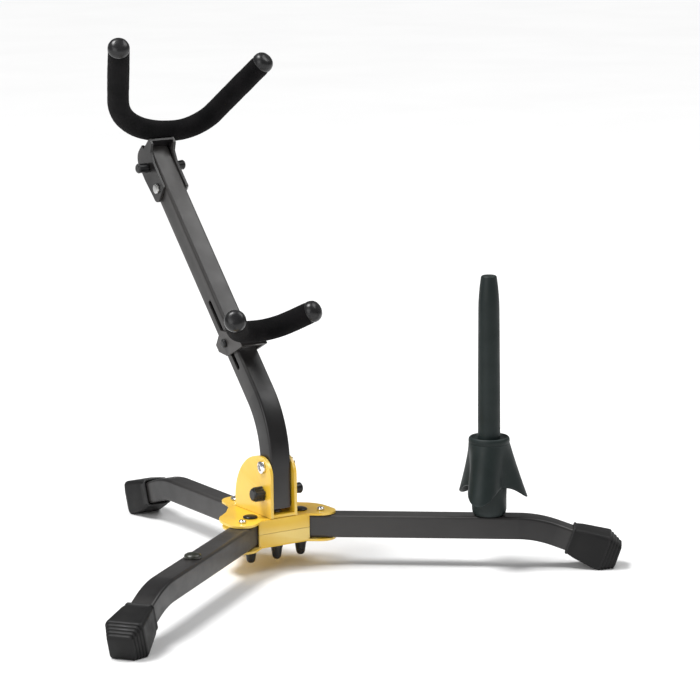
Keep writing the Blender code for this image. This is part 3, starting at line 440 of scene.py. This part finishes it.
def upright_tube():
    path = bent_path((0, UPRIGHT_Y, UPRIGHT_FOOT), CORNER, TOP, UPRIGHT_BEND, 28)
    tube = square_tube("upright_skin", path, Vector((1, 0, 0)))
    low = CLAMP - ALONG * (SLOT_BELOW - SLOT_WIDTH / 2)
    high = CLAMP + ALONG * (SLOT_ABOVE - SLOT_WIDTH / 2)

    def slot(bm):
        ring = []
        for centre, start in ((high, 0), (low, pi)):
            for i in range(13):
                angle = start + pi * i / 12
                ring.append(centre + (ACROSS * cos(angle) + ALONG * sin(angle)) * SLOT_WIDTH / 2)
        add_loft(bm, [[p + Vector((x, 0, 0)) for p in ring] for x in (-CUT_REACH, CUT_REACH)])
    cutters = [new_mesh("slot", slot)]
    reach = Vector((CUT_REACH, 0, 0))
    for spot, radius in ((Vector((0, UPRIGHT_Y, PIVOT_Z)), PIVOT_HOLE), (Vector((0, UPRIGHT_Y, LOCK_Z)), LOCK_HOLE),
                         (TOP - ALONG * RIVET_BELOW, RIVET_HOLE), (TOP - ALONG * LATCH_BELOW, LATCH_HOLE)):
        cutters.append(bar("hole", spot - reach, spot + reach, radius))
    finished(cut(tube, cutters), "upright", LOOKS["black_paint"], "black_paint", "upright_tube")


# --- boots --------------------------------------------------------------------------------------------
def boot(side, body, node):
    """Moulded rubber boot: rolled lip, flared walls and a nose of square steps with soft corners."""
    knee = FRONT_KNEE if side else REAR_KNEE
    slope = radians(LEG_SLOPE)
    down = Matrix.Rotation(-pi / 2 + slope, 4, "Y")
    mouth = Matrix.Translation((knee + MOUTH_AT * cos(slope), 0, -MOUTH_AT * sin(slope)))
    place = leg_place(side) @ mouth @ down
    socket = HALF + GAP
    lip = 0.9
    sections = [(socket, 1.2, -BOOT_GRIP + 4), (socket, 1.6, -2), (socket + 0.5, 2.0, -0.3),
                (BOOT_MOUTH / 2 - 0.5, 2.6, 0), (BOOT_MOUTH / 2, 3.0, -lip / 2),
                (BOOT_MOUTH / 2 + 0.1, 3.0, -lip * 1.8), (BOOT_MOUTH / 2 - 0.25, 3.0, -lip * 2.4)]
    for share in (0.25, 0.5, 0.75, 0.97):
        half = (BOOT_MOUTH + (BOOT_END - BOOT_MOUTH) * share) / 2
        sections.append((half, 3.0 + share, -BOOT_LENGTH * share))
    steps = 5
    for i in range(steps):
        half = (BOOT_END - (BOOT_END - BOOT_TIP) * i / steps) / 2
        top = BOOT_LENGTH + BOOT_CAP * i / steps
        rise = BOOT_CAP / steps
        radius = 4.2 - i * 0.3
        sections += [(half, radius, -top - 0.25), (half - 0.15, radius, -top - rise * 0.62),
                     (half - 0.55, radius, -top - rise * 0.80), (half - 1.1, radius, -top - rise * 0.84)]
    end = BOOT_LENGTH + BOOT_CAP
    sections += [(BOOT_TIP / 2 - 0.4, 2.8, -end + 0.3), (BOOT_TIP / 2 - 1.2, 2.2, -end)]

    def fill(bm):
        rings = []
        for half, radius, height in sections:
            ring = [place @ (p + Vector((0, 0, height))) for p in rounded_ring(half, radius)]
            for p in ring:
                p.z = max(p.z, FLOOR_Z + 0.02)
            rings.append(ring)
        add_loft(bm, rings)
    finished(new_mesh(node + "_skin", fill, 50), body, LOOKS["rubber"], "rubber", node)


# --- yokes --------------------------------------------------------------------------------------------
def yoke_path(base, up, left, right):
    """Points of a U in the plane of X and up. Each arm is (end across, end height, lean, bend radius)."""
    def arm(end_x, end_h, lean, radius, sign):
        corner_x = end_x - end_h * tan(radians(lean))
        spots = bent_path((corner_x * 0.02, 0, 0), (corner_x, 0, 0), (end_x, end_h, 0), radius, 18)
        return [base + Vector((sign * p.x, 0, 0)) + up * p.y for p in spots]
    one = arm(*left, -1)
    two = arm(*right, 1)
    return list(reversed(one[1:])) + two[1:]


def foam_sleeve(name, path, side, body, node, seed):
    """Foam pulled over the rod: soft waves along it and rolled ends."""
    spots = resampled(path, 1.2)
    spots[0] = path[0] + (path[1] - path[0]).normalized() * FOAM_END
    spots[-1] = path[-1] + (path[-2] - path[-1]).normalized() * FOAM_END
    keep = [i for i, p in enumerate(spots)
            if (p - path[0]).length >= FOAM_END - 0.01 and (p - path[-1]).length >= FOAM_END - 0.01]
    spots = [spots[i] for i in keep]
    sides = 40
    places = frames_along(spots, side)
    shift = Vector((seed * 31.7, 0, 0))

    def skin_radius(place, angle, i):
        edge = min(i, len(spots) - 1 - i)
        roll = 0.9 * (1 - min(edge, 3) / 3) ** 2
        spot = place.translation + (place.to_3x3() @ Vector((cos(angle), sin(angle), 0))) * FOAM / 2
        soft = noise.noise(spot * 0.055 + shift) * 0.28 + noise.noise(spot * 0.35 + shift) * 0.10
        return FOAM / 2 - 0.25 + soft - roll

    def fill(bm):
        rings = []
        for i, place in enumerate(places):
            ring = []
            for k in range(sides):
                angle = 2 * pi * k / sides
                r = skin_radius(place, angle, i)
                ring.append(place @ Vector((r * cos(angle), r * sin(angle), 0)))
            rings.append(ring)
        inner = [[place @ p for p in round_ring(ROD / 2 + GAP, sides)] for place in places]
        add_loft(bm, [inner[0]] + rings + [inner[-1]] + inner[-2:0:-1] + [inner[0]], closed_ends=False)
        bmesh.ops.remove_doubles(bm, verts=bm.verts, dist=0.001)
    piece = finished(new_mesh(name, fill, 60), body, LOOKS["foam"], "foam", node)


def end_caps(path, body, prefix):
    """Glossy plugs on the rod's ends: a low dome, a rounded rim and a short straight skirt."""
    radius = CAP_RADIUS
    for end, label in ((0, "left"), (-1, "right")):
        tip = path[end]
        inward = (path[1] if end == 0 else path[-2]) - tip
        turn = (-inward).to_track_quat("Z", "Y").to_matrix().to_4x4()
        profile = [(0, 3.1), (radius * 0.30, 3.05), (radius * 0.55, 2.6), (radius * 0.75, 1.5),
                   (radius * 0.90, -0.2), (radius * 0.98, -2.2), (radius, -3.8), (radius, -5.2),
                   (radius * 0.97, -5.65), (ROD / 2 + GAP, -5.7), (ROD / 2 + GAP, -1.6), (0, -1.6)]
        obj = turned(prefix + "_" + label + "_cap_skin", profile, Matrix.Translation(tip) @ turn, 48, 60)
        finished(obj, body, LOOKS["black_plastic"], "black_plastic", prefix + "_" + label + "_cap")


def yokes():
    base = TOP - ACROSS * UPPER_ROD_FRONT + ALONG * UPPER_ROD_UP
    upper = yoke_path(base, -ACROSS, UPPER_LEFT_ARM, UPPER_RIGHT_ARM)
    foam_sleeve("upper_foam", upper, ALONG, "upper_yoke", "upper_yoke_foam", 1)
    end_caps(upper, "upper_yoke", "upper_yoke")
    rise = radians(LOWER_RISE)
    up = Vector((0, -cos(rise), sin(rise)))
    base = CLAMP - ACROSS * LOWER_ROD_FRONT + ALONG * LOWER_ROD_UP
    lower = yoke_path(base, up, LOWER_ARM, LOWER_ARM)
    foam_sleeve("lower_foam", lower, Vector((0, sin(rise), cos(rise))), "lower_yoke", "lower_yoke_foam", 2)
    end_caps(lower, "lower_yoke", "lower_yoke")


# --- peg ----------------------------------------------------------------------------------------------
def petal_share(angle):
    """1 along a petal's middle, falling to 0 halfway to the next one; the angle is in degrees."""
    apart = min(abs((angle - turn + 180) % 360 - 180) for turn in PETAL_TURNS)
    return max(0.0, cos(radians(apart * 1.5))) ** 1.5


def petals(place):
    """Skirt of the collar with rolled lower edges; it flares out to three soft tips."""
    around, rows, sheet = 180, 22, 2.4
    spread = PETAL_REACH - PEG_SHOULDER

    def ring(level, inset):
        spots = []
        for i in range(around):
            angle = 360 * i / around
            share = petal_share(angle)
            drop = (PETAL_NOTCH + (PETAL_LENGTH - PETAL_NOTCH) * share ** 2.6) * level
            reach = PEG_SHOULDER - 1.6 * (1 - share) * level + spread * share * drop / PETAL_LENGTH - inset
            reach -= 0.35 * max(0.0, cos(radians(angle * 3 - PETAL_TURNS[0] * 3))) * sin(pi * level)
            spots.append(place @ Vector((reach * cos(radians(angle)), reach * sin(radians(angle)),
                                         PEG_SHOULDER_Z - drop)))
        return spots
    levels = [i / rows * 0.985 for i in range(rows + 1)]
    outer = [ring(level, 0) for level in levels]
    edge = [ring(0.993, 0.25), ring(0.998, 0.7), ring(1.0, 1.2), ring(0.998, 1.7), ring(0.993, 2.15)]
    inner = [ring(level, sheet) for level in reversed(levels)]

    def fill(bm):
        rings = [[bm.verts.new(p) for p in spots] for spots in outer + edge + inner]
        for one, two in zip(rings, rings[1:] + rings[:1]):
            for i in range(around):
                j = (i + 1) % around
                bm.faces.new((one[i], two[i], two[j], one[j]))
    return new_mesh("skirt", fill, 50)


def peg():
    """Collar with a raised rim round the shaft, its skirt of petals, and the long tapered shaft."""
    spot = leg_place(1) @ Vector((PEG_AT, 0, HALF + GAP))
    place = Matrix.Translation(spot)
    top = PEG_SHOULDER_Z + 5.5
    bore = PEG_SHAFT - 2.0
    profile = [(bore, PEG_FLOOR), (bore, top - 2.2), (bore + 0.4, top - 1.8), (PEG_SHAFT + 0.9, top - 1.7),
               (13.4, top - 1.6), (14.1, top - 1.2), (14.6, top - 0.5), (15.1, top - 0.1), (15.7, top - 0.1),
               (16.3, top - 0.6), (16.8, top - 1.6), (17.0, top - 3.2), (16.8, top - 5.0), (16.2, PEG_SHOULDER_Z - 4),
               (15.4, 44), (PEG_BASE + 0.3, 24), (PEG_BASE, 16), (PEG_BASE, 5), (13.9, 2.8), (13.2, 1.2),
               (12.3, 0.3), (11.4, 0), (STUD / 2 + GAP, 0), (STUD / 2 + GAP, PEG_FLOOR)]
    collar = cut(wheel("collar_skin", profile, place, 128), [petals(place)], "UNION")
    finished(collar, "peg", LOOKS["peg_plastic"], "peg_plastic", "peg_collar")
    edge = 2.0
    shaft = [(0, PEG_TOP_Z + 0.0), (PEG_NOSE - edge - 1.5, PEG_TOP_Z - 0.02)]
    shaft += [(PEG_NOSE - edge + edge * sin(radians(a)), PEG_TOP_Z - edge * (1 - cos(radians(a))))
              for a in range(0, 91, 10)]
    for share in (0.25, 0.5, 0.75):
        swell = PEG_NOSE + (PEG_SHAFT - 0.5 - PEG_NOSE) * sin(share * pi / 2) ** 0.9
        shaft.append((swell, PEG_TOP_Z - edge - (29 - edge) * share))
    shaft += [(PEG_SHAFT - 0.5, PEG_TOP_Z - 29), (PEG_SHAFT - 0.35, PEG_TOP_Z - 50), (PEG_SHAFT - 0.1, 110),
              (PEG_SHAFT, 80), (PEG_SHAFT, top - 1.2), (bore - GAP, top - 1.2), (bore - GAP, PEG_FLOOR + 1),
              (0, PEG_FLOOR + 1)]
    finished(turned("shaft_skin", shaft, place, 64, 40), "peg", LOOKS["peg_plastic"], "peg_plastic", "peg_shaft")


def pivot_screw():
    """The upright's pivot screw: its bright head has a hexagon socket."""
    bolt = NODES["upright_pivot_bolt"]
    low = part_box("upright_pivot_bolt")[0]
    screw = bpy.data.objects.new("pivot_screw_skin", bolt.data.copy())
    bpy.context.scene.collection.objects.link(screw)
    spot = Vector((0, UPRIGHT_Y, PIVOT_Z))
    left = (low.x / MM) - HUB.translation.x / MM
    socket = bar("socket", spot + Vector((left - 2, 0, 0)), spot + Vector((left + 2.4, 0, 0)), 3.0, 6)
    cut(screw, [socket])
    edge = screw.modifiers.new("edges", "BEVEL")
    edge.width = 0.3 * MM
    edge.segments = 2
    edge.limit_method = "ANGLE"
    edge.angle_limit = radians(40)
    finished(screw, "base", LOOKS["chrome"], "chrome", "upright_pivot_bolt")


# --- small parts that keep their CAD shape ------------------------------------------------------------
EASED = {
    "gold_paint": (("hub_top_plate", 0.7), ("hub_bottom_plate", 0.7), ("upright_bracket", 0.8)),
    "black_paint": (("upper_yoke_carrier", 0.5), ("lower_yoke_bracket", 0.5), ("upper_yoke_rod", 0.3),
                    ("lower_yoke_rod", 0.3)),
    "olive": (("left_leg_plug", 0.2),),
    "black_plastic": (("upright_top_plug", 0.5), ("upright_foot_plug", 0.4), ("upright_lock_left", 0.5),
                      ("upright_lock_right", 0.4), ("clamp_bolt", 0.3), ("clamp_bolt_nut", 0.3),
                      ("clamp_thumbscrew", 0.4), ("leg_pivot_right_bolt", 0.2), ("leg_pivot_left_bolt", 0.2),
                      ("leg_pivot_right_nut", 0.3), ("leg_pivot_left_nut", 0.3), ("hub_centre_nut", 0.3),
                      ("carrier_latch_left", 0.3), ("carrier_latch_right", 0.3)),
    "chrome": (("right_leg_lock_plunger", 0.2), ("left_leg_lock_plunger", 0.2)),
    "zinc": (("hub_centre_bolt", 0.2), ("rear_leg_inner_bolt", 0.2), ("rear_leg_outer_bolt", 0.2),
             ("rear_leg_inner_nut", 0.2), ("rear_leg_outer_nut", 0.2), ("right_leg_peg_socket", 0.2),
             ("left_leg_peg_socket", 0.2), ("peg_stud", 0.2), ("upright_pivot_bush", 0.2),
             ("upright_pivot_bolt_nut", 0.3), ("carrier_pin", 0.2), ("carrier_pin_nut", 0.2)),
}


def kept_nodes():
    for slot, nodes in EASED.items():
        for node, width in nodes:
            eased(node, LOOKS[slot], width)


# --- studio -------------------------------------------------------------------------------------------
def studio():
    floor_look = Look("studio_floor", (0.86, 0.86, 0.86), 0.85)
    floor_look.drift(3, (0.88, 0.88, 0.88))
    bm = bmesh.new()
    bmesh.ops.create_grid(bm, x_segments=1, y_segments=1, size=12)
    mesh = bpy.data.meshes.new("floor")
    bm.to_mesh(mesh)
    bm.free()
    floor = bpy.data.objects.new("floor", mesh)
    floor.location = (0, 0, -0.0002)
    floor.data.materials.append(floor_look.material)
    bpy.context.scene.collection.objects.link(floor)
    world = bpy.data.worlds.new("studio")
    world.use_nodes = True
    world.node_tree.nodes["Background"].inputs["Color"].default_value = (1, 1, 1, 1)
    world.node_tree.nodes["Background"].inputs["Strength"].default_value = 0.24
    bpy.context.scene.world = world
    bpy.context.scene.view_settings.view_transform = "Standard"
    sun = bpy.data.lights.new("overhead", "SUN")
    sun.energy = 3.1
    sun.angle = radians(24)
    overhead = bpy.data.objects.new("overhead", sun)
    overhead.rotation_euler = Vector((-0.38, 0.22, 1)).to_track_quat("Z", "Y").to_euler()
    bpy.context.scene.collection.objects.link(overhead)
    lamps = (("left", (-2.3, -0.9, 1.1), 1.7, 26), ("top", (1.1, -0.5, 1.9), 1.2, 20))
    for name, spot, size, power in lamps:
        lamp = bpy.data.lights.new(name, "AREA")
        lamp.size = size
        lamp.energy = power
        obj = bpy.data.objects.new(name, lamp)
        obj.location = spot
        obj.rotation_euler = (Vector((0, 0, 0.15)) - Vector(spot)).to_track_quat("-Z", "Y").to_euler()
        bpy.context.scene.collection.objects.link(obj)


def camera():
    """The photographer's place: low, about 33 degrees round to the left, with a long lens."""
    azimuth, height, roll = radians(-32.68), radians(10.86), radians(-0.63)
    distance, aside, above, lens = 2337.0, 73.1, 142.8, 144.8
    back = Vector((sin(azimuth) * cos(height), -cos(azimuth) * cos(height), sin(height)))
    right = Vector((cos(azimuth), sin(azimuth), 0))
    up = back.cross(right)
    spot = back * distance + right * aside + up * above
    turned_right = right * cos(roll) + up * sin(roll)
    turned_up = up * cos(roll) - right * sin(roll)
    data = bpy.data.cameras.new("camera")
    data.lens = lens
    data.sensor_width = 36
    data.clip_end = 50
    obj = bpy.data.objects.new("camera", data)
    facing = Matrix((turned_right, turned_up, back)).transposed().to_4x4()
    obj.matrix_world = HUB @ Matrix.Translation(spot * MM) @ facing
    bpy.context.scene.collection.objects.link(obj)
    bpy.context.scene.camera = obj


for side, body, prefix in ((1, "right_leg", "right_leg"), (-1, "left_leg", "left_leg"), (0, "base", "rear_leg")):
    leg_tube(side, body, prefix + "_tube")
    boot(side, body, prefix + "_boot")
upright_tube()
yokes()
peg()
pivot_screw()
kept_nodes()
studio()
camera()
